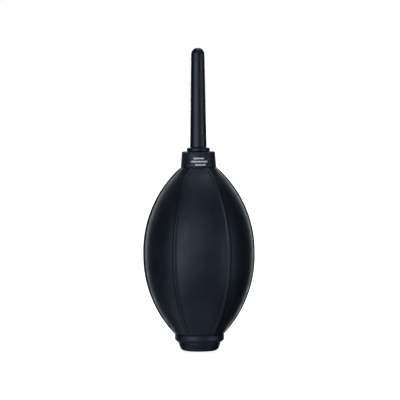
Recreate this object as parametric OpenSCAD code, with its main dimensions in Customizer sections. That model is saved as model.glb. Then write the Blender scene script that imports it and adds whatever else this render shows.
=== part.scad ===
// Hand dust blower: a ribbed rubber bulb with a filtered air inlet in its base
// and a one-way outlet under its nozzle. Millimetres, +Z up, origin in the
// middle of the resting face. A flat side of the bulb faces -Y.

/* [Overall] */
// Height of the blower, standing on its base
total_h = 163; // [150:0.2:175]
// Widest diameter, across two opposite ribs
belly_d = 60.2; // [59:0.2:61]

/* [Bulb] */
// Height of the middle of the belly
belly_z = 52.4; // [51.9:0.1:53.4]
// Height of the straight band round the belly
belly_band_h = 2.2; // [1.5:0.1:3]
// Radius of the arc from the belly up to the neck
upper_arc_r = 60.7; // [60.2:0.1:62]
// Radius of the arc from the belly down to the lip
lower_arc_r = 61.8; // [61:0.1:63]
// Thickness of the rubber wall
wall = 2.3; // [2:0.1:2.5]
// Number of ribs; they part the wall into the same number of gores
rib_count = 6; // [6:2:6]
// Height of a rib above the wall
rib_h = 0.8; // [0.4:0.1:0.9]
// Width of a rib
rib_w = 2; // [1.4:0.1:2.4]
// Radius of the lip round the mouth
lip_r = 13.4; // [12.8:0.1:13.5]

/* [Squeeze panels] */
// Width of the part of a gore that the hand presses in
panel_w = 22; // [16:1:23]
// Height of the part of a gore that the hand presses in
panel_h = 66; // [40:1:68]
// Gap all round a panel
panel_gap = 0.25; // [0.15:0.05:0.4]

/* [Neck and collar] */
// Radius of the collar at its foot
collar_foot_r = 9.6; // [9.2:0.1:9.8]
// Radius of the collar at its top
collar_top_r = 9; // [8.8:0.1:9.2]
// Height of the collar
collar_h = 8.2; // [8:0.1:8.6]
// Radius of the socket's flange, above the collar
flange_r = 6.3; // [5.8:0.1:7]

/* [Nozzle] */
// Radius of the nozzle at its foot
nozzle_foot_r = 4.55; // [4.2:0.05:5]
// Radius of the nozzle where its round end starts
nozzle_tip_r = 3.66; // [3.4:0.01:4]
// Radius of the outlet hole in the tip
orifice_r = 1.2; // [0.8:0.1:1.5]
// Length of the outlet hole
orifice_l = 7.5; // [5:0.5:12]

/* [Base] */
// Radius of the filter cap at its top
cap_top_r = 11.4; // [11:0.05:11.5]
// Radius of the filter cap where its round foot starts
cap_foot_r = 10.6; // [10.3:0.05:10.6]
// Radius of the arc from the cap's side down to its resting face
cap_foot_round = 2.75; // [2.65:0.05:3]
// Outer radius of the resting face
cap_rest_r = 8; // [8:0.1:8.2]

/* [Hidden] */
$fn = 96;
FRONT = 0;
BACK = 180;

// Bulb
belly_r = belly_d / 2;
upper_z = belly_z + belly_band_h / 2;
lower_z = belly_z - belly_band_h / 2;
lip_bottom_z = 4.8;
lip_top_z = 8.9;
lip_chamfer = 1.35;
mouth_r = 9.6;
shoulder_z = 99.2;
neck_r = 7.6;
neck_bore_r = 5.5;
neck_top_z = 106.4;

// Collar, socket and outlet valve
collar_top_z = shoulder_z + collar_h;
collar_roof_h = 0.9;
fit_gap = 0.05;
socket_r = neck_bore_r - fit_gap;
socket_bottom_z = 95.6;
socket_barb_r = 5.9;
flange_z = collar_top_z + fit_gap;
nozzle_seat_z = flange_z + 2.2;
valve_bore_r = 4.3;
valve_bore_top_z = 101.8;
outlet_seat_z = 98.4;
outlet_disc_r = 3.4;
disc_h = 0.8;
disc_gap = 0.02;
disc_lift = 1.2;
cage_h = 1.2;
outlet_cage_z = outlet_seat_z + disc_gap + disc_h + disc_lift + 0.08;

// Nozzle
spigot_r = 3.55;
spigot_bore_r = 3.65;
spigot_bottom_z = 102.4;
nozzle_bore_r = 2.2;
ring_wire_r = 0.35;
ring_play = 0.03;
nozzle_ring_z = 105.7;
orifice_z = total_h - orifice_l;
tip_centre_z = total_h - sqrt(pow(nozzle_tip_r, 2) - pow(orifice_r, 2));

// Inlet valve, filter and cap
inlet_barrel_r = mouth_r - fit_gap;
inlet_bore_r = 8.3;
inlet_flange_r = 11.4;
inlet_bottom_z = 4.1;
inlet_top_z = 13;
inlet_barb_r = 10.4;
seat_plate_z = 8;
seat_plate_h = 1.2;
inlet_disc_r = 6.4;
inlet_disc_z = seat_plate_z + seat_plate_h + disc_gap;
inlet_cage_z = inlet_disc_z + disc_h + disc_lift + 0.08;
cap_top_z = inlet_bottom_z - fit_gap;
cap_side_z = cap_foot_round - sqrt(pow(cap_foot_round, 2) - pow(cap_foot_r - cap_rest_r, 2));
cap_spigot_r = 8.2;
cap_spigot_bore_r = 6.9;
cap_spigot_top_z = 5.25;
cap_recess_r = 7;
cap_recess_h = 0.8;
cap_floor_h = 1.4;
cap_ring_z = 4.65;
filter_r = 8;
screen_z = cap_spigot_top_z + fit_gap;
screen_wire = 0.17;
screen_pitch = 1.4;
screen_h = 2 * screen_wire;
pad_z = screen_z + screen_h + fit_gap;
pad_h = seat_plate_z - fit_gap - pad_z;

RUBBER = "#20242b";
PLASTIC = "#1d2025";
SILICONE = "#c9463c";
NATURAL = "#d8d9d4";
STEEL = "#a9adb2";

// 2D shapes ---------------------------------------------------------------

// A rectangle in the half section, from radius r0 to r1 and height z0 to z1
module band(r0, r1, z0, z1) {
    translate([r0, z0]) square([r1 - r0, z1 - z0]);
}

// What is cut off to round the upper outer corner at [r, z]
module corner_off(r, z, round_r) {
    translate([r - round_r, z - round_r]) difference() {
        square(round_r + 1);
        circle(round_r);
    }
}

// The half outline of the bulb from the lip to the shoulder, inset by a depth
module bulb_outline(inset) {
    intersection() {
        translate([belly_r - upper_arc_r, upper_z]) circle(upper_arc_r - inset);
        band(0, belly_r, upper_z, total_h);
    }
    band(0, belly_r - inset, lower_z, upper_z);
    intersection() {
        translate([belly_r - lower_arc_r, lower_z]) circle(lower_arc_r - inset);
        band(0, belly_r, -belly_z, lower_z);
    }
}

// The part of the outline that shows, between the lip and the collar
module shown_outline(inset) {
    intersection() {
        bulb_outline(inset);
        band(0, belly_r, lip_top_z, shoulder_z);
    }
}

// The thick lip round the mouth, chamfered below
module lip_outline() {
    difference() {
        band(0, lip_r, lip_bottom_z, lip_top_z);
        translate([lip_r, lip_bottom_z]) rotate(45)
            square(sqrt(2) * lip_chamfer, center = true);
    }
}

// A pointed oval: two arcs that meet above and below
module oval(w, h) {
    arc_r = (w * w + h * h) / (4 * w);
    intersection_for (side = [-1, 1])
        translate([side * (arc_r - w / 2), 0]) circle(arc_r);
}

// Bulb --------------------------------------------------------------------

// The bulb's rubber without its ribs
module bulb_wall() {
    rotate_extrude() difference() {
        union() {
            shown_outline(rib_h);
            lip_outline();
            band(0, neck_r, shoulder_z - 1, neck_top_z);
        }
        bulb_outline(rib_h + wall);
        band(0, neck_bore_r, upper_z, neck_top_z + 1);
        band(0, mouth_r, lip_bottom_z - 1, lower_z);
    }
}

// One rib: a strip that follows the outline, in the plane of y = 0
module rib() {
    rotate([90, 0, 0]) linear_extrude(rib_w, center = true) difference() {
        shown_outline(0);
        bulb_outline(rib_h + wall / 2);
    }
}

// The prism along Y that cuts a squeeze panel out of the wall
module panel_prism(turn, grow) {
    rotate([0, 0, turn]) translate([0, -belly_r / 2, belly_z]) rotate([90, 0, 0])
        linear_extrude(belly_r) oval(panel_w + 2 * grow, panel_h + 2 * grow);
}

module bulb() {
    color(RUBBER) difference() {
        union() {
            bulb_wall();
            for (i = [0 : rib_count - 1]) rotate([0, 0, i * 360 / rib_count]) rib();
        }
        for (turn = [FRONT, BACK]) panel_prism(turn, panel_gap);
    }
}

module squeeze_panel(turn) {
    color(RUBBER) intersection() {
        bulb_wall();
        panel_prism(turn, 0);
    }
}

// Neck, socket and outlet valve ---------------------------------------------

module neck_collar() {
    bore_r = neck_r + fit_gap;
    color(PLASTIC) rotate_extrude() difference() {
        polygon([[0, shoulder_z], [collar_foot_r, shoulder_z],
                 [collar_top_r, collar_top_z], [0, collar_top_z]]);
        corner_off(collar_top_r, collar_top_z, 0.4);
        band(0, bore_r, shoulder_z - 1, collar_top_z - collar_roof_h);
        band(0, socket_r + fit_gap, shoulder_z - 1, collar_top_z + 1);
    }
}

module outlet_socket() {
    color(PLASTIC) rotate_extrude() difference() {
        union() {
            band(0, flange_r, flange_z, nozzle_seat_z);
            band(0, socket_r, socket_bottom_z + 1.2, flange_z);
            polygon([[0, socket_bottom_z], [socket_r - 0.3, socket_bottom_z],
                     [socket_barb_r, socket_bottom_z + 1.8], [socket_barb_r, socket_bottom_z + 2.4],
                     [socket_r, socket_bottom_z + 2.7], [0, socket_bottom_z + 2.7]]);
        }
        corner_off(flange_r, nozzle_seat_z, 1.2);
        band(0, spigot_bore_r, socket_bottom_z - 1, nozzle_seat_z + 1);
        band(0, valve_bore_r, socket_bottom_z - 1, valve_bore_top_z);
    }
}

module outlet_valve_seat() {
    hole_r = 2;
    plug_top_z = outlet_seat_z - 0.4;
    color(NATURAL) rotate_extrude() {
        band(hole_r, valve_bore_r - fit_gap, socket_bottom_z + 0.4, plug_top_z);
        band(hole_r, hole_r + 0.8, plug_top_z, outlet_seat_z);
    }
}

module outlet_valve_disc() {
    color(SILICONE) translate([0, 0, outlet_seat_z + disc_gap]) cylinder(disc_h, r = outlet_disc_r);
}

// A ring with three arms, which stops a valve disc and lets the air past
module valve_cage(outer_r, ring_w, hub_r, arm_w) {
    difference() {
        cylinder(cage_h, r = outer_r);
        translate([0, 0, -1]) cylinder(cage_h + 2, r = outer_r - ring_w);
    }
    cylinder(cage_h, r = hub_r);
    for (turn = [0, 120, 240]) rotate([0, 0, turn])
        translate([0, -arm_w / 2, 0]) cube([outer_r - ring_w / 2, arm_w, cage_h]);
}

module outlet_valve_cage() {
    color(NATURAL) translate([0, 0, outlet_cage_z])
        valve_cage(valve_bore_r - fit_gap, ring_w = 0.8, hub_r = 1.1, arm_w = 0.9);
}

// Nozzle ------------------------------------------------------------------

// A sealing ring whose outer edge has radius outer_r
module seal_ring(outer_r, z) {
    rotate_extrude() translate([outer_r - ring_wire_r, z]) circle(ring_wire_r);
}

// The groove that such a ring lies in
module ring_groove(outer_r, z) {
    band(outer_r - 2 * ring_wire_r - 0.02, outer_r + 1, z - ring_wire_r - 0.05, z + ring_wire_r + 0.05);
}

module nozzle() {
    seal_r = spigot_bore_r - ring_play;
    funnel_h = nozzle_bore_r - orifice_r;
    color(PLASTIC) rotate_extrude() difference() {
        union() {
            band(0, spigot_r, spigot_bottom_z, nozzle_seat_z);
            polygon([[0, nozzle_seat_z], [nozzle_foot_r, nozzle_seat_z],
                     [nozzle_tip_r, tip_centre_z], [0, tip_centre_z]]);
            intersection() {
                translate([0, tip_centre_z]) circle(nozzle_tip_r);
                band(0, nozzle_tip_r, tip_centre_z, total_h);
            }
        }
        ring_groove(seal_r, nozzle_ring_z);
        band(0, orifice_r, spigot_bottom_z - 1, total_h + 1);
        polygon([[0, spigot_bottom_z - 1], [nozzle_bore_r, spigot_bottom_z - 1],
                 [nozzle_bore_r, orifice_z - funnel_h], [orifice_r, orifice_z], [0, orifice_z]]);
    }
}

module nozzle_seal_ring() {
    color(SILICONE) seal_ring(spigot_bore_r - ring_play, nozzle_ring_z);
}

// Inlet valve ---------------------------------------------------------------

module inlet_body() {
    holes = 6;
    hole_r = 1.3;
    hole_pitch_r = 3.9;
    color(PLASTIC) difference() {
        rotate_extrude() {
            difference() {
                union() {
                    band(0, inlet_flange_r, inlet_bottom_z, lip_bottom_z - fit_gap);
                    band(0, inlet_barrel_r, inlet_bottom_z, inlet_top_z - 1.4);
                    polygon([[0, inlet_top_z - 2.6], [inlet_barrel_r, inlet_top_z - 2.6],
                             [inlet_barb_r, inlet_top_z - 2.3], [inlet_barb_r, inlet_top_z - 1.4],
                             [inlet_barrel_r - 0.3, inlet_top_z], [0, inlet_top_z]]);
                }
                band(0, inlet_bore_r, inlet_bottom_z - 1, seat_plate_z);
                band(0, inlet_bore_r, seat_plate_z + seat_plate_h, inlet_top_z + 1);
            }
        }
        for (i = [0 : holes - 1]) rotate([0, 0, i * 360 / holes])
            translate([hole_pitch_r, 0, seat_plate_z - 1]) cylinder(seat_plate_h + 2, r = hole_r);
    }
}

module inlet_valve_disc() {
    color(SILICONE) translate([0, 0, inlet_disc_z]) cylinder(disc_h, r = inlet_disc_r);
}

module inlet_valve_cage() {
    color(NATURAL) translate([0, 0, inlet_cage_z])
        valve_cage(inlet_bore_r - fit_gap, ring_w = 1.2, hub_r = 2, arm_w = 1.4);
}

// Filter and cap --------------------------------------------------------------

module filter_pad() {
    color("white") translate([0, 0, pad_z]) cylinder(pad_h, r = filter_r);
}

// Two layers of crossing wires in a thin hoop
module filter_screen() {
    rows = floor((filter_r - 0.6) / screen_pitch);
    color(STEEL) translate([0, 0, screen_z]) {
        difference() {
            cylinder(screen_h, r = filter_r);
            translate([0, 0, -1]) cylinder(screen_h + 2, r = filter_r - 0.6);
        }
        for (layer = [0, 1], i = [-rows : rows]) {
            reach = sqrt(pow(filter_r - 0.3, 2) - pow(i * screen_pitch, 2));
            translate([0, 0, layer * screen_wire]) rotate([0, 0, layer * 90])
                translate([-reach, i * screen_pitch - screen_wire / 2, 0])
                    cube([2 * reach, screen_wire, screen_wire]);
        }
    }
}

// The cap's air holes: one in the middle and two rings of them
module air_holes() {
    hole_r = 0.85;
    ring_step = 2.7;
    for (ring = [0 : 2], i = [0 : max(0, 6 * ring - 1)])
        rotate([0, 0, i * 60 / max(1, ring)]) translate([ring * ring_step, 0, 0])
            cylinder(cap_top_z, r = hole_r);
}

// The cap's half outline: a side that widens upwards over a round foot
module cap_outline() {
    polygon([[0, cap_side_z], [cap_foot_r, cap_side_z], [cap_top_r, cap_top_z], [0, cap_top_z]]);
    band(0, cap_rest_r, 0, cap_side_z);
    intersection() {
        translate([cap_rest_r, cap_foot_round]) circle(cap_foot_round);
        band(0, cap_foot_r, 0, cap_side_z);
    }
}

module filter_cap() {
    seal_r = inlet_bore_r - ring_play;
    color(PLASTIC) difference() {
        rotate_extrude() difference() {
            union() {
                cap_outline();
                band(0, cap_spigot_r, cap_top_z - 1, cap_spigot_top_z);
            }
            band(0, cap_recess_r, -1, cap_recess_h);
            band(0, cap_spigot_bore_r, cap_recess_h + cap_floor_h, cap_spigot_top_z + 1);
            ring_groove(seal_r, cap_ring_z);
        }
        air_holes();
    }
}

module filter_cap_seal_ring() {
    color(SILICONE) seal_ring(inlet_bore_r - ring_play, cap_ring_z);
}

// Nodes ---------------------------------------------------------------------

bulb();
squeeze_panel(FRONT);  // front_squeeze_panel
squeeze_panel(BACK);  // back_squeeze_panel
neck_collar();
outlet_socket();
outlet_valve_seat();
outlet_valve_disc();
outlet_valve_cage();
nozzle();
nozzle_seal_ring();
inlet_body();
inlet_valve_disc();
inlet_valve_cage();
filter_pad();
filter_screen();
filter_cap();
filter_cap_seal_ring();
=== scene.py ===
"""The looks of a hand dust blower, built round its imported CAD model. Metres, +Z up, front at -Y."""
import math

import bmesh
import bpy
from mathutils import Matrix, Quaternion, Vector


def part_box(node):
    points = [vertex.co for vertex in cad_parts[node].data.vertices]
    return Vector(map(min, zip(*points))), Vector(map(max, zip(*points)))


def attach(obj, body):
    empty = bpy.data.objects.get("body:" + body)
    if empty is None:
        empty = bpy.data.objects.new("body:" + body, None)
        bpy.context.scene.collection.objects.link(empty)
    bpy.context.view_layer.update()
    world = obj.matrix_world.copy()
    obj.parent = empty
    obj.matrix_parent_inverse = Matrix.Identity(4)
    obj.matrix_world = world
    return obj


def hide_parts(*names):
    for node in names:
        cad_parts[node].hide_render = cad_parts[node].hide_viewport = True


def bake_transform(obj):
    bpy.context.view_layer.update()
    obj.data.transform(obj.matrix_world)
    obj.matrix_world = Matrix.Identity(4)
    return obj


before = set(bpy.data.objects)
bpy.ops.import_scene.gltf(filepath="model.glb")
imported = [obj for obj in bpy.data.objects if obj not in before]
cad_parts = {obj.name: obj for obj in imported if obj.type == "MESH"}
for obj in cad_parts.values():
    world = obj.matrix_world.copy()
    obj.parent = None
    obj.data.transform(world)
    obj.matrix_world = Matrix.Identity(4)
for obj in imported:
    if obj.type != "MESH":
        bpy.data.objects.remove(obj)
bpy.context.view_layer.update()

MM = 0.001
TURN = 2 * math.pi


# Sizes: from the frame where a node's box gives them, otherwise as in the CAD -------

bulb_low, bulb_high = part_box("bulb")
collar_low, collar_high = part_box("neck_collar")
socket_low, socket_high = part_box("outlet_socket")
nozzle_low, nozzle_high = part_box("nozzle")
inlet_low, inlet_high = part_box("inlet_body")
cap_low, cap_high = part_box("filter_cap")
panel_low, panel_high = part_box("front_squeeze_panel")

belly_r = bulb_high.x
belly_z = (panel_low.z + panel_high.z) / 2
BELLY_BAND = 2.2 * MM      # the straight part of the outline, between its two arcs
UPPER_ARC_R = 60.7 * MM
LOWER_ARC_R = 61.8 * MM
WALL = 2.3 * MM
LIP_R = 13.4 * MM
LIP_TOP_Z = 8.9 * MM
MOUTH_R = 9.6 * MM
NECK_R = 7.6 * MM
NECK_BORE_R = 5.5 * MM

RIBS = 6
RIB_H = 0.8 * MM
RIB_TOP = 0.2 * MM         # half the width of a rib's top
RIB_FOOT = 1.45 * MM       # half its width where it meets the gore
GORE_FLAT = 0.7 * MM       # how far the middle of a gore lies inside the round wall
GORE_FADE = 4 * MM         # ribs and gores reach full depth this far from the lip and the collar
END_DEPTH = 0.35           # the share of their depth that is left at the lip and the collar

OUTSIDE_ROWS = 110
INSIDE_ROWS = 50
# Mesh lines beside a rib, in mm from its middle, and how many more cross the rest of a gore.
RIB_LINES_MM = (0, 0.12, 0.22, 0.32, 0.42, 0.53, 0.65, 0.77, 0.89,
                1.01, 1.13, 1.24, 1.35, 1.46, 1.6, 1.9, 2.3)
GORE_LINES = 14
LATHE_SEGMENTS = 144
HOLE_SIDES = 40

JOINT_GAP = 0.05 * MM      # between two pieces that meet without touching


# Profiles ---------------------------------------------------------------------------

def arc(centre_r, centre_z, radius, start, end, steps):
    """Points (r, z) along an arc, angles in degrees from the +r direction."""
    points = []
    for i in range(steps + 1):
        a = math.radians(start + (end - start) * i / steps)
        points.append((centre_r + radius * math.cos(a), centre_z + radius * math.sin(a)))
    return points


def rounded(corners, steps=5):
    """A closed profile from (r, z, radius) corners, each rounded by its radius."""
    points = []
    count = len(corners)
    for i, (r, z, radius) in enumerate(corners):
        here = Vector((r, z))
        if radius <= 0:
            points.append((r, z))
            continue
        before = Vector(corners[i - 1][:2]) - here
        after = Vector(corners[(i + 1) % count][:2]) - here
        half = before.angle(after) / 2
        back = min(radius / math.tan(half), 0.49 * before.length, 0.49 * after.length)
        p0 = here + before.normalized() * back
        p1 = here + after.normalized() * back
        for k in range(steps + 1):
            t = k / steps
            point = p0 * (1 - t) ** 2 + here * 2 * t * (1 - t) + p1 * t ** 2
            points.append((point.x, point.y))
    return points


def outline_r(z):
    """The bulb's radius over a rib at height z."""
    above = z - belly_z - BELLY_BAND / 2
    below = belly_z - BELLY_BAND / 2 - z
    if above > 0:
        return belly_r - UPPER_ARC_R + math.sqrt(UPPER_ARC_R ** 2 - above ** 2)
    if below > 0:
        return belly_r - LOWER_ARC_R + math.sqrt(LOWER_ARC_R ** 2 - below ** 2)
    return belly_r


def smooth(low, high, value):
    """0 up to low, 1 from high on, and a smooth step between them."""
    t = min(max((value - low) / (high - low), 0), 1)
    return t * t * (3 - 2 * t)


# Meshes -----------------------------------------------------------------------------

def shade(mesh, sharp):
    """Smooth shading, with a crease wherever faces meet at more than sharp degrees."""
    for face in mesh.polygons:
        face.use_smooth = True
    mesh.set_sharp_from_angle(angle=math.radians(sharp))


def add_object(name, mesh_data, body=None, sharp=40):
    obj = bpy.data.objects.new(name, mesh_data)
    bpy.context.scene.collection.objects.link(obj)
    shade(mesh_data, sharp)
    if body:
        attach(obj, body)
    return obj


def mesh_from(name, vertices, faces):
    """A mesh with doubled vertices merged and its faces turned outwards."""
    mesh = bpy.data.meshes.new(name)
    mesh.from_pydata(vertices, [], faces)
    work = bmesh.new()
    work.from_mesh(mesh)
    bmesh.ops.remove_doubles(work, verts=work.verts, dist=1e-7)
    bmesh.ops.recalc_face_normals(work, faces=work.faces)
    work.to_mesh(mesh)
    work.free()
    return mesh


def turned(r, z, angle):
    """The point at radius r and height z, turned round the Z axis from +X."""
    return (r * math.cos(angle), r * math.sin(angle), z)


def bridge(faces, first, second, count):
    """Adds the faces between two closed loops of count vertices, each given by its first one."""
    for i in range(count):
        j = (i + 1) % count
        faces.append((first + i, first + j, second + j, second + i))


def lathe(name, profile, body, material, sharp=40):
    """A piece made by turning a closed profile round the Z axis."""
    count = len(profile)
    vertices = []
    faces = []
    for s in range(LATHE_SEGMENTS):
        vertices += [turned(r, z, TURN * s / LATHE_SEGMENTS) for r, z in profile]
        bridge(faces, s * count, (s + 1) % LATHE_SEGMENTS * count, count)
    obj = add_object(name, mesh_from(name, vertices, faces), body, sharp)
    obj.data.materials.append(material)
    return obj


def drill(obj, centres, radius, low_z, high_z, soften):
    """Cuts round holes down through a piece, with their rims softened."""
    vertices = []
    faces = []
    for x, y in centres:
        first = len(vertices)
        for z in (low_z, high_z):
            for i in range(HOLE_SIDES):
                a = TURN * i / HOLE_SIDES
                vertices.append((x + radius * math.cos(a), y + radius * math.sin(a), z))
        bridge(faces, first, first + HOLE_SIDES, HOLE_SIDES)
        faces.append(tuple(first + i for i in reversed(range(HOLE_SIDES))))
        faces.append(tuple(first + HOLE_SIDES + i for i in range(HOLE_SIDES)))
    bits = bpy.data.objects.new("bits", mesh_from("bits", vertices, faces))
    bpy.context.scene.collection.objects.link(bits)
    cut = obj.modifiers.new("holes", "BOOLEAN")
    cut.operation = "DIFFERENCE"
    cut.solver = "EXACT"
    cut.object = bits
    rim = obj.modifiers.new("rims", "BEVEL")
    rim.width = soften
    rim.segments = 3
    rim.limit_method = "ANGLE"
    rim.angle_limit = math.radians(60)
    graph = bpy.context.evaluated_depsgraph_get()
    made = bpy.data.meshes.new_from_object(obj.evaluated_get(graph))
    obj.modifiers.clear()
    obj.data = made
    bpy.data.objects.remove(bits)
    shade(made, 40)


def ring_of(count, radius):
    """Points (x, y) evenly round a circle, the first on +X."""
    return [turned(radius, 0, TURN * i / count)[:2] for i in range(count)]


# Materials --------------------------------------------------------------------------

def add_node(tree, kind, values=None, **settings):
    """A new node; each of its values is a plain value for an input or another node's output."""
    made = tree.nodes.new(kind)
    for key, value in settings.items():
        setattr(made, key, value)
    for key, value in (values or {}).items():
        if isinstance(value, bpy.types.NodeSocket):
            tree.links.new(value, made.inputs[key])
        else:
            made.inputs[key].default_value = value
    return made


class Shader:
    """A principled material whose colour, roughness and relief come from noise on the piece itself."""

    def __init__(self, name, roughness, specular=0.5, sheen=(1, 1, 1, 1)):
        self.material = bpy.data.materials.new(name)
        self.material.use_nodes = True
        self.tree = self.material.node_tree
        self.surface = self.tree.nodes["Principled BSDF"]
        self.surface.inputs["Roughness"].default_value = roughness
        self.surface.inputs["Specular IOR Level"].default_value = specular
        self.surface.inputs["Specular Tint"].default_value = sheen
        self.place = self.tree.nodes.new("ShaderNodeTexCoord").outputs["Object"]

    def noise(self, size_mm, detail, roughness=0.5, stretch=(1, 1, 1)):
        """Noise from 0 to 1 whose features are about size_mm across."""
        scaled = add_node(self.tree, "ShaderNodeMapping", {"Vector": self.place, "Scale": stretch})
        return add_node(self.tree, "ShaderNodeTexNoise", {
            "Vector": scaled.outputs["Vector"], "Scale": 1000 / size_mm,
            "Detail": detail, "Roughness": roughness}).outputs["Fac"]

    def spread(self, value, low, high, to_low=0.0, to_high=1.0):
        """Takes value from low..high to to_low..to_high, with a smooth step."""
        return add_node(self.tree, "ShaderNodeMapRange", {
            "Value": value, "From Min": low, "From Max": high,
            "To Min": to_low, "To Max": to_high}, interpolation_type="SMOOTHSTEP").outputs["Result"]

    def mix(self, factor, a, b):
        """The colour between a and b."""
        return add_node(self.tree, "ShaderNodeMix", {0: factor, 6: a, 7: b}, data_type="RGBA").outputs[2]

    def edges(self):
        """1 on the piece's raised edges, 0 elsewhere; the node gives 0.5 where a surface is flat."""
        return self.spread(add_node(self.tree, "ShaderNodeNewGeometry").outputs["Pointiness"], 0.52, 0.60)

    def colour(self, value):
        self.tree.links.new(value, self.surface.inputs["Base Color"])

    def roughness(self, value):
        self.tree.links.new(value, self.surface.inputs["Roughness"])

    def relief(self, *layers):
        """Bumps stacked on each other, each a height from 0 to 1 and its depth in mm."""
        normal = None
        for height, depth_mm in layers:
            values = {"Height": height, "Distance": depth_mm * MM, "Strength": 1.0}
            if normal is not None:
                values["Normal"] = normal
            normal = add_node(self.tree, "ShaderNodeBump", values).outputs["Normal"]
        self.tree.links.new(normal, self.surface.inputs["Normal"])


COOL = (0.63, 0.76, 1.0, 1)      # tints of the reflected light
DUSKY = (0.67, 0.75, 0.90, 1)
GLOSS = 0.66                     # how strongly the moulded pieces reflect
RED_LOSS = 0.18                  # the cool cast of their own colour
BLUE_GAIN = 0.35

DUST_MM = 0.9
DUST_COVER = 0.35
DUST_LEVEL = 3.0                 # how much paler than the piece the dust is
DUST_TINT = 0.6

# Noise gathers round 0.5; between these ends it goes from none of an effect to all of it.
CLOUD_ENDS = (0.35, 0.65)
PATCH_ENDS = (0.3, 0.7)
DUST_ENDS = (0.70, 0.78)


def grey_blue(level, tint=1.0):
    """A dark grey with the cool cast of the whole blower."""
    return (level * (1 - RED_LOSS * tint), level, level * (1 + BLUE_GAIN * tint), 1)


def moulded(name, level, roughness, grain_mm, depth_mm,
            wear=1.6, cloud_mm=14, swing=0.18, sheen=COOL):
    """Moulded dark rubber or plastic: clouded colour, fine grain, paler worn edges and a little dust."""
    s = Shader(name, roughness, GLOSS, sheen)
    cloud = s.spread(s.noise(cloud_mm, 3), *CLOUD_ENDS)
    speck = s.spread(s.noise(DUST_MM, 4, 0.7), *DUST_ENDS)
    base = s.mix(cloud, grey_blue(level * (1 - swing)), grey_blue(level * (1 + swing)))
    worn = s.mix(s.edges(), base, grey_blue(level * wear))
    s.colour(s.mix(s.spread(speck, 0, 1, 0, DUST_COVER), worn, grey_blue(level * DUST_LEVEL, DUST_TINT)))
    s.roughness(s.spread(s.noise(5, 4), *PATCH_ENDS, roughness - 0.05, roughness + 0.06))
    s.relief((s.noise(9, 2), depth_mm * 2.5), (s.noise(grain_mm, 3, 0.6), depth_mm))
    return s.material


def natural(name, colour, roughness):
    """Unpigmented plastic or silicone, slightly see-through."""
    s = Shader(name, roughness)
    cloud = s.spread(s.noise(4, 3), *CLOUD_ENDS)
    dark = tuple(c * 0.82 for c in colour) + (1,)
    s.colour(s.mix(cloud, dark, tuple(colour) + (1,)))
    s.surface.inputs["Subsurface Weight"].default_value = 0.15
    s.surface.inputs["Subsurface Radius"].default_value = (0.002, 0.0015, 0.001)
    s.surface.inputs["Subsurface Scale"].default_value = 0.5
    s.relief((s.noise(0.5, 3), 0.01))
    return s.material


def felt(name):
    """Pale fibres that lie mostly flat."""
    s = Shader(name, 0.95, 0.2)
    fibres = s.noise(0.25, 6, 0.8, (1, 1, 0.3))
    s.colour(s.mix(s.spread(fibres, *CLOUD_ENDS), (0.55, 0.55, 0.52, 1), (0.85, 0.85, 0.82, 1)))
    s.relief((fibres, 0.12))
    return s.material


def steel(name):
    """Bare steel wire, unevenly bright."""
    s = Shader(name, 0.32)
    s.surface.inputs["Metallic"].default_value = 1
    s.colour(s.mix(s.noise(1.2, 3), (0.46, 0.47, 0.48, 1), (0.70, 0.71, 0.72, 1)))
    s.roughness(s.spread(s.noise(0.4, 4), *PATCH_ENDS, 0.24, 0.42))
    s.relief((s.noise(0.2, 4, 0.7, (1, 1, 0.2)), 0.004))
    return s.material


def print_ink(name):
    """White pad-print, a little uneven where the grain shows through."""
    s = Shader(name, 0.45)
    thin = s.spread(s.noise(0.35, 4, 0.7), 0.55, 0.8)
    s.colour(s.mix(thin, (0.90, 0.90, 0.90, 1), (0.66, 0.67, 0.69, 1)))
    s.relief((s.noise(0.25, 3), 0.008))
    return s.material


# Name, level of grey, roughness, size and depth of the grain in mm.
bulb_rubber = moulded("bulb_rubber", 0.016, 0.45, 0.30, 0.010, wear=1.3)
collar_plastic = moulded("collar_plastic", 0.018, 0.50, 1.4, 0.15, cloud_mm=1.6, swing=0.95)
socket_plastic = moulded("socket_plastic", 0.012, 0.35, 0.30, 0.006)
nozzle_plastic = moulded("nozzle_plastic", 0.013, 0.34, 0.40, 0.004, sheen=DUSKY)
base_plastic = moulded("base_plastic", 0.011, 0.44, 0.40, 0.014)
natural_plastic = natural("natural_plastic", (0.74, 0.74, 0.70), 0.35)
valve_silicone = natural("valve_silicone", (0.55, 0.07, 0.05), 0.40)
filter_felt = felt("filter_felt")
screen_steel = steel("screen_steel")
mark_print = print_ink("mark_print")


# Bulb -------------------------------------------------------------------------------

def shell_rows():
    """The bulb's closed half section: (r, z, ribbed) from the mouth, up the outside and down the inside."""
    chamfer = 1.35 * MM
    shoulder = 1.2 * MM
    lip = rounded([
        (MOUTH_R, bulb_low.z, 0), (LIP_R - chamfer, bulb_low.z, 0.3 * MM),
        (LIP_R, bulb_low.z + chamfer, 0.9 * MM), (LIP_R, LIP_TOP_Z, 0.35 * MM),
        (LIP_R - shoulder, LIP_TOP_Z, 0)])[:-1]
    rows = [(r, z, False) for r, z in lip]
    foot_z = LIP_TOP_Z + 0.02 * MM
    for i in range(OUTSIDE_ROWS + 1):
        z = foot_z + (collar_low.z - foot_z) * i / OUTSIDE_ROWS
        rows.append((outline_r(z), z, True))
    rows += [(NECK_R, collar_low.z, False), (NECK_R, bulb_high.z, False), (NECK_BORE_R, bulb_high.z, False)]
    for i in range(INSIDE_ROWS + 1):
        z = collar_low.z + (LIP_TOP_Z - collar_low.z) * i / INSIDE_ROWS
        inside = outline_r(z) - RIB_H - WALL
        floor_r = NECK_BORE_R if z > belly_z else MOUTH_R
        rows.append((max(inside, floor_r), z, False))
    return rows


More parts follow.
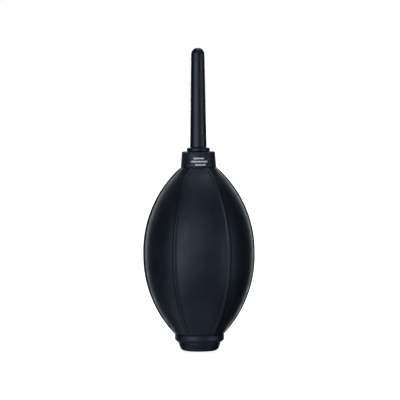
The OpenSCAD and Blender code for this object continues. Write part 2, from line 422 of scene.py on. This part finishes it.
def gore_columns():
    """Where the vertical lines of one gore lie: (share of the gore, offset from the rib in metres)."""
    columns = [(0, s * MM) for s in RIB_LINES_MM]
    columns += [((i + 1) / (GORE_LINES + 1), 0) for i in range(GORE_LINES)]
    columns += [(1, -s * MM) for s in reversed(RIB_LINES_MM[1:])]
    return columns


def half_bulb(name, first_gore):
    """Three gores of the bulb, from the rib at +X or -X to the one opposite, closed along their cut."""
    rows = shell_rows()
    gore = TURN / RIBS
    edge = RIB_LINES_MM[-1] * MM
    columns = [(g, share, offset) for g in range(RIBS // 2) for share, offset in gore_columns()]
    columns.append((RIBS // 2, 0, 0))
    vertices = []
    for g, share, offset in columns:
        start = gore * (first_gore + g)
        for r, z, ribbed in rows:
            if 0 < share < 1:
                inner = edge / r
                angle = start + inner + (gore - 2 * inner) * share
                from_rib = edge
            else:
                angle = start + gore * share + offset / r
                from_rib = abs(offset)
            if ribbed:
                flat = GORE_FLAT * (r / belly_r) * (1 - math.cos(RIBS * angle)) / 2
                below_rib = RIB_H * smooth(RIB_TOP, RIB_FOOT, from_rib)
                from_end = min(z - LIP_TOP_Z, collar_low.z - z)
                r -= (below_rib + flat) * (END_DEPTH + (1 - END_DEPTH) * smooth(0, GORE_FADE, from_end))
            vertices.append(turned(r, z, angle))
    count = len(rows)
    last = len(columns) - 1
    faces = []
    for c in range(last):
        bridge(faces, c * count, (c + 1) * count, count)
    faces.append(tuple(range(count)))
    faces.append(tuple(last * count + i for i in reversed(range(count))))
    obj = add_object(name, mesh_from(name, vertices, faces), sharp=35)
    obj.data.materials.append(bulb_rubber)
    return obj


front_half = half_bulb("bulb_front_half", RIBS // 2)
back_half = half_bulb("bulb_back_half", 0)
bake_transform(front_half)
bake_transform(back_half)
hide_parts("bulb", "front_squeeze_panel")
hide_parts("back_squeeze_panel")


# Collar and its mark ----------------------------------------------------------------

collar_top_r = 9 * MM
collar_bore_r = NECK_R + JOINT_GAP
collar_seat_z = collar_high.z - 0.9 * MM
collar_profile = rounded([
    (collar_bore_r, collar_low.z, 0), (collar_high.x, collar_low.z, 0.1 * MM),
    (collar_top_r, collar_high.z, 0.5 * MM), (NECK_BORE_R, collar_high.z, 0.2 * MM),
    (NECK_BORE_R, collar_seat_z, 0), (collar_bore_r, collar_seat_z, 0)])
collar = lathe("collar", collar_profile, "root", collar_plastic)
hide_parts("neck_collar")


def collar_r(z):
    """The collar's outside radius at height z."""
    t = (z - collar_low.z) / (collar_high.z - collar_low.z)
    return collar_high.x + (collar_top_r - collar_high.x) * t


def stroke(vertices, faces, left, right, z, thick, lift):
    """A flat bar with round ends that lies round the collar's front, added to vertices and faces."""
    steps = 40
    least = 0.002 * MM
    half = thick / 2
    first = len(vertices)
    for i in range(steps + 1):
        u = left + (right - left) * (1 - math.cos(math.pi * i / steps)) / 2
        into_end = max(0, half - (u - left), half - (right - u))
        reach = math.sqrt(max(half ** 2 - into_end ** 2, 0)) + least
        for height, out in ((-reach, 0), (-reach, lift), (reach, lift), (reach, 0)):
            r = collar_r(z + height) + out
            vertices.append(turned(r, z + height, u / collar_r(z) - math.pi / 2))
    for i in range(steps):
        bridge(faces, first + 4 * i, first + 4 * (i + 1), 4)
    faces.append((first + 3, first + 2, first + 1, first))
    end = first + 4 * steps
    faces.append((end, end + 1, end + 2, end + 3))


def draught_mark():
    """A plain printed sign for moving air: three level bars, staggered."""
    vertices = []
    faces = []
    middle_z = collar_low.z + 3.1 * MM
    thick = 0.8 * MM
    lift = 0.03 * MM
    for left, right, height in ((-3.4, 2.6, 1.7), (-4.7, 4.6, 0), (-2.4, 3.4, -1.7)):
        stroke(vertices, faces, left * MM, right * MM, middle_z + height * MM, thick, lift)
    obj = add_object("collar_mark", mesh_from("collar_mark", vertices, faces), "root")
    obj.data.materials.append(mark_print)


draught_mark()


# Socket -----------------------------------------------------------------------------

socket_bore_r = 3.65 * MM
duct_r = 4.3 * MM
duct_top_z = 101.8 * MM
plug_r = 5.45 * MM
plug_barb_r = 5.9 * MM
flange_low_z = collar_high.z + JOINT_GAP
socket_profile = rounded([
    (duct_r, socket_low.z, 0), (5.15 * MM, socket_low.z, 0.1 * MM),
    (plug_barb_r, socket_low.z + 1.8 * MM, 0.15 * MM), (plug_barb_r, socket_low.z + 2.4 * MM, 0.1 * MM),
    (plug_r, socket_low.z + 2.7 * MM, 0), (plug_r, flange_low_z, 0),
    (socket_high.x - 0.35 * MM, flange_low_z, 0.1 * MM), (socket_high.x, flange_low_z + 0.45 * MM, 0.2 * MM),
    (socket_high.x, socket_high.z - 0.15 * MM, 0.7 * MM), (4.9 * MM, socket_high.z, 0.3 * MM),
    (socket_bore_r, socket_high.z, 0.15 * MM), (socket_bore_r, duct_top_z, 0), (duct_r, duct_top_z, 0)])
socket = lathe("neck_socket", socket_profile, "root", socket_plastic)
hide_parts("outlet_socket")


# Nozzle -----------------------------------------------------------------------------

def nozzle_profile():
    """From the spigot's lower end, up the outside over the round tip and down the bore."""
    tip_r = 3.66 * MM
    outlet_r = 1.2 * MM
    outlet_rim = 0.25 * MM
    bore_r = 2.2 * MM
    spigot_r = 3.55 * MM
    spigot_chamfer = 0.2 * MM
    groove_z = 105.7 * MM
    groove_half = 0.4 * MM
    groove_r = 2.9 * MM
    foot_chamfer = 0.35 * MM
    taper_steps = 24
    foot_r, foot_z = nozzle_high.x, socket_high.z
    tip_z = nozzle_high.z - math.sqrt(tip_r ** 2 - outlet_r ** 2)
    tip_end = math.degrees(math.acos(outlet_r / tip_r))
    points = [
        (bore_r, nozzle_low.z), (spigot_r - spigot_chamfer, nozzle_low.z),
        (spigot_r, nozzle_low.z + spigot_chamfer),
        (spigot_r, groove_z - groove_half), (groove_r, groove_z - groove_half),
        (groove_r, groove_z + groove_half), (spigot_r, groove_z + groove_half),
        (spigot_r, foot_z), (foot_r - foot_chamfer, foot_z), (foot_r, foot_z + foot_chamfer)]
    for i in range(1, taper_steps):
        t = i / taper_steps
        points.append((foot_r + (tip_r - foot_r) * t, foot_z + (tip_z - foot_z) * t))
    points += arc(0, tip_z, tip_r, 0, tip_end - 4, 20)
    points += arc(outlet_r + outlet_rim, nozzle_high.z - 0.32 * MM, outlet_rim, 80, 180, 5)
    points += [(outlet_r, nozzle_high.z - 7.5 * MM), (bore_r, nozzle_high.z - 8.5 * MM)]
    return points


nozzle = lathe("blow_nozzle", nozzle_profile(), "nozzle_body", nozzle_plastic, sharp=30)
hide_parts("nozzle")


# Inlet fitting ----------------------------------------------------------------------

inlet_bore_r = 8.3 * MM
inlet_plug_r = MOUTH_R - JOINT_GAP
inlet_barb_r = 10.4 * MM
inlet_flange_z = bulb_low.z - JOINT_GAP
plate_low_z = 8 * MM
plate_high_z = 9.2 * MM
inlet_profile = rounded([
    (0, plate_low_z, 0), (inlet_bore_r, plate_low_z, 0), (inlet_bore_r, inlet_low.z, 0.2 * MM),
    (inlet_high.x, inlet_low.z, 0.2 * MM), (inlet_high.x, inlet_flange_z, 0.15 * MM),
    (inlet_plug_r, inlet_flange_z, 0), (inlet_plug_r, 10.4 * MM, 0),
    (inlet_barb_r, 10.7 * MM, 0.1 * MM), (inlet_barb_r, 11.6 * MM, 0.2 * MM),
    (9.25 * MM, inlet_high.z, 0.2 * MM), (inlet_bore_r, inlet_high.z, 0),
    (inlet_bore_r, plate_high_z, 0), (0, plate_high_z, 0)])
inlet = lathe("inlet_fitting", inlet_profile, "root", base_plastic)
plate_holes = ring_of(6, 3.9 * MM)
drill(inlet, plate_holes, 1.3 * MM, 7.4 * MM, 9.9 * MM, 0.1 * MM)
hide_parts("inlet_body")


# Cap --------------------------------------------------------------------------------

rest_r = 7 * MM
underside_z = 0.8 * MM
cap_floor_z = 2.2 * MM
cap_bore_r = 6.9 * MM
cap_spigot_r = 8.2 * MM
cap_top_z = inlet_low.z - JOINT_GAP
cap_groove_r = 7.53 * MM
cap_groove_low_z = 4.25 * MM
cap_groove_high_z = 5.05 * MM
foot_round = 2.75 * MM
cap_foot = [(r, z, 0) for r, z in arc(8 * MM, foot_round, foot_round, -90, -19, 12)]
cap_profile = rounded([
    (0, underside_z, 0), (rest_r, underside_z, 0.15 * MM), (rest_r, cap_low.z, 0.25 * MM)] + cap_foot + [
    (cap_high.x, cap_top_z, 0.15 * MM), (cap_spigot_r, cap_top_z, 0),
    (cap_spigot_r, cap_groove_low_z, 0), (cap_groove_r, cap_groove_low_z, 0),
    (cap_groove_r, cap_groove_high_z, 0), (cap_spigot_r, cap_groove_high_z, 0),
    (cap_spigot_r, cap_high.z, 0.08 * MM), (cap_bore_r, cap_high.z, 0.15 * MM),
    (cap_bore_r, cap_floor_z, 0.2 * MM), (0, cap_floor_z, 0)], steps=7)
cap = lathe("base_cap", cap_profile, "cap_body", base_plastic)
cap_holes = [(0, 0)] + ring_of(6, 2.7 * MM) + ring_of(12, 5.4 * MM)
drill(cap, cap_holes, 0.85 * MM, -1 * MM, 3 * MM, 0.12 * MM)
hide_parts("filter_cap")


# The inner pieces keep their CAD shape under these materials ------------------------

for material, *names in (
        (natural_plastic, "outlet_valve_seat", "outlet_valve_cage", "inlet_valve_cage"),
        (valve_silicone, "outlet_valve_disc", "inlet_valve_disc",
         "nozzle_seal_ring", "filter_cap_seal_ring"),
        (filter_felt, "filter_pad"),
        (screen_steel, "filter_screen")):
    for name in names:
        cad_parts[name].data.materials.clear()
        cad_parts[name].data.materials.append(material)


# Studio -----------------------------------------------------------------------------

def floor():
    """A wide white floor that the blower stands on but neither reflects nor is lit by."""
    bpy.ops.mesh.primitive_circle_add(vertices=96, radius=4, fill_type="NGON", location=(0, 0, 0))
    obj = bpy.context.object
    obj.name = "floor"
    s = Shader("floor_white", 0.9, 0.1)
    s.surface.inputs["Base Color"].default_value = (0.9, 0.9, 0.9, 1)
    s.surface.inputs["Emission Color"].default_value = (1, 1, 1, 1)
    s.surface.inputs["Emission Strength"].default_value = 0.85
    obj.data.materials.append(s.material)
    obj.visible_diffuse = False
    obj.visible_glossy = False
    obj.visible_shadow = False
    return obj


def direction(azimuth, elevation):
    """A unit vector; azimuth 0 is towards -Y, where the camera stands, and 90 is towards +X."""
    a, e = math.radians(azimuth), math.radians(elevation)
    return (math.sin(a) * math.cos(e), -math.cos(a) * math.cos(e), math.sin(e))


def studio_world(panels):
    """Bright panels in a dark room that the camera sees as plain white.

    A panel is (azimuth, elevation, inner, outer, strength): even out to its inner half width, and
    faded to nothing at its outer one, all in degrees.
    """
    world = bpy.data.worlds.new("studio")
    world.use_nodes = True
    bpy.context.scene.world = world
    tree = world.node_tree
    tree.nodes.clear()
    look = add_node(tree, "ShaderNodeTexCoord").outputs["Generated"]
    total = 0.0
    for azimuth, elevation, inner, outer, strength in panels:
        dot = add_node(tree, "ShaderNodeVectorMath", {0: look, 1: direction(azimuth, elevation)},
                       operation="DOT_PRODUCT")
        glow = add_node(tree, "ShaderNodeMapRange", {
            "Value": dot.outputs["Value"], "From Min": math.cos(math.radians(outer)),
            "From Max": math.cos(math.radians(inner)), "To Min": 0, "To Max": strength},
            interpolation_type="SMOOTHSTEP")
        total = add_node(tree, "ShaderNodeMath", {0: glow.outputs["Result"], 1: total},
                         operation="ADD").outputs["Value"]
    room = add_node(tree, "ShaderNodeBackground", {"Color": (0.93, 0.98, 1.0, 1), "Strength": total})
    seen = add_node(tree, "ShaderNodeBackground", {"Color": (1, 1, 1, 1), "Strength": 1.0})
    path = add_node(tree, "ShaderNodeLightPath")
    mix = add_node(tree, "ShaderNodeMixShader", {
        0: path.outputs["Is Camera Ray"], 1: room.outputs["Background"], 2: seen.outputs["Background"]})
    add_node(tree, "ShaderNodeOutputWorld", {"Surface": mix.outputs["Shader"]})


def floor_light(piece, strength):
    """An even light from straight above that only the floor receives, so that it stays pale all over."""
    data = bpy.data.lights.new("floor_light", "SUN")
    data.energy = strength
    data.angle = math.radians(100)
    obj = bpy.data.objects.new("floor_light", data)
    bpy.context.scene.collection.objects.link(obj)
    lit = bpy.data.collections.new("lit_floor")
    lit.objects.link(piece)
    obj.light_linking.receiver_collection = lit


def photo_camera():
    """A long lens, a little left of the front and looking slightly down on the whole blower."""
    turn = math.radians(3.6)
    roll = math.radians(-0.36)
    distance = 2.0
    eye_z = 200 * MM
    frame_w = 214.8 * MM
    aim = Vector((0.73 * MM, 0, 81.2 * MM))
    data = bpy.data.cameras.new("camera")
    data.sensor_width = 36
    data.lens = data.sensor_width * distance / frame_w
    data.clip_start = 0.01
    obj = bpy.data.objects.new("camera", data)
    bpy.context.scene.collection.objects.link(obj)
    obj.location = (aim.x - distance * math.sin(turn), -distance * math.cos(turn), eye_z)
    look = (aim - obj.location).to_track_quat("-Z", "Y")
    obj.rotation_euler = (look @ Quaternion((0, 0, 1), roll)).to_euler()
    bpy.context.scene.camera = obj


floor_piece = floor()
studio_world([
    (-40, -1, 18, 33, 1.5),
    (-10, 18, 14, 29, 0.75),
    (42, -5, 6, 14, 0.4),
    (59, -4, 12, 28, 1),
    (151, 79, 14, 32, 1.4),
    (1, -71, 21, 44, 0.25),
    (-96, -50, 9, 23, 0.65),
    (180, 4, 12, 39, 3.5)])
floor_light(floor_piece, 0.55)
photo_camera()
bpy.context.scene.view_settings.view_transform = "Standard"
